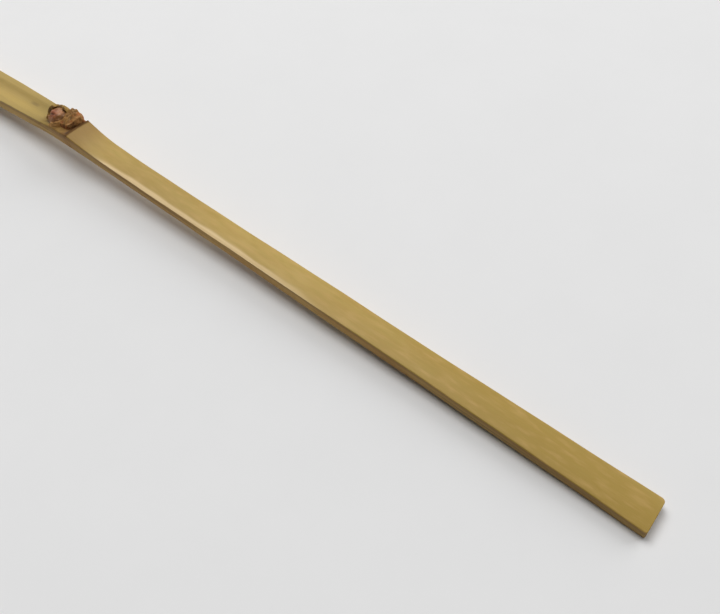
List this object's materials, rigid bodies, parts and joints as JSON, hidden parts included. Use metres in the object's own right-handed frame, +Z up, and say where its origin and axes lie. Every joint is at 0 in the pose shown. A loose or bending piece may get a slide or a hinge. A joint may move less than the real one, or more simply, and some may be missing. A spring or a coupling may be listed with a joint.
{
  "type": "bamboo tea scoop",
  "caption": "Slim bamboo strip with a raised node and bud near its middle, bent up at the far end into a shallow scoop for powdered tea and cut square at the end of the handle.",
  "frame": {"origin": "on the table under the middle of the strip's length, as the scoop rests skin side up", "axes": "+X along the strip to the cut end of the handle, +Y across the strip, +Z up out of the table"},
  "size_m": [0.1858, 0.0086, 0.0144],
  "materials": {
    "rind": "satin, fine long fibres",
    "flesh": "matt, knife cut along the fibres",
    "node_skin": "satin, faintly wrinkled",
    "cross_wall": "matt",
    "stub": "rough and broken",
    "bud": "smooth, softly glossy",
    "scale": "dry and matt"
  },
  "bodies": {
    "root": {"handle_rind": "rind", "handle_flesh": "flesh", "node_ring": "node_skin", "node_web": "cross_wall", "upper_rind": "rind", "upper_flesh": "flesh", "branch_stub": "stub", "dormant_bud": "bud", "bud_scale_near": "scale", "bud_scale_far": "scale"}
  },
  "joints": []
}
